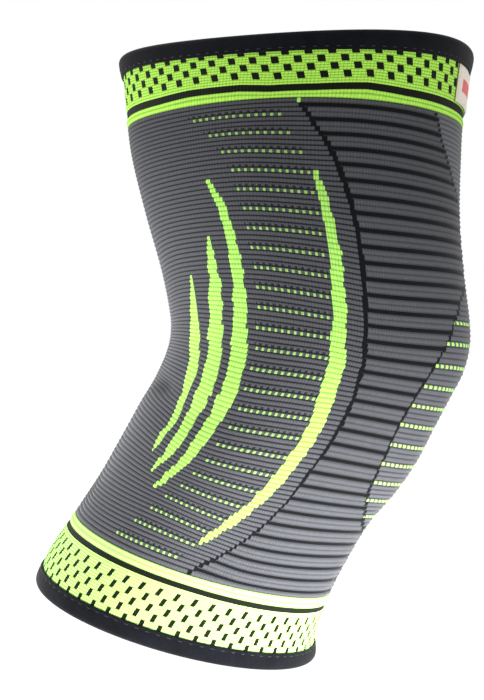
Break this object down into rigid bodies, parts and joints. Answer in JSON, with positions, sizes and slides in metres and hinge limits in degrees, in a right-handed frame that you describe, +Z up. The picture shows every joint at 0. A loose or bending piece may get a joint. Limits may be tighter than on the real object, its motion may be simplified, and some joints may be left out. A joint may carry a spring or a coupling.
{
  "type": "knee sleeve",
  "caption": "Seamless knitted compression sleeve for a bent knee, with checked elastic bands and tape-bound rims.",
  "frame": {"origin": "middle of the hollow at the height of the kneecap, on the line down the middle of the leg, where the sleeve sits on the knee", "axes": "+Z up the thigh, +X towards the front of the knee, +Y to the side; the sleeve is alike on both sides of the XZ plane"},
  "size_m": [0.1927, 0.144, 0.2649],
  "materials": {
    "grey_knit": "ribbed jacquard knit in grey, black and lime yarn",
    "lime_knit": "checked lime and black elastic knit",
    "black_tape": "soft matt folded tape",
    "label_cloth": "smooth woven label"
  },
  "bodies": {
    "root": {"knit_body": "grey_knit", "upper_band": "lime_knit", "lower_band": "lime_knit", "upper_binding": "black_tape", "lower_binding": "black_tape", "front_label": "label_cloth"}
  },
  "joints": []
}
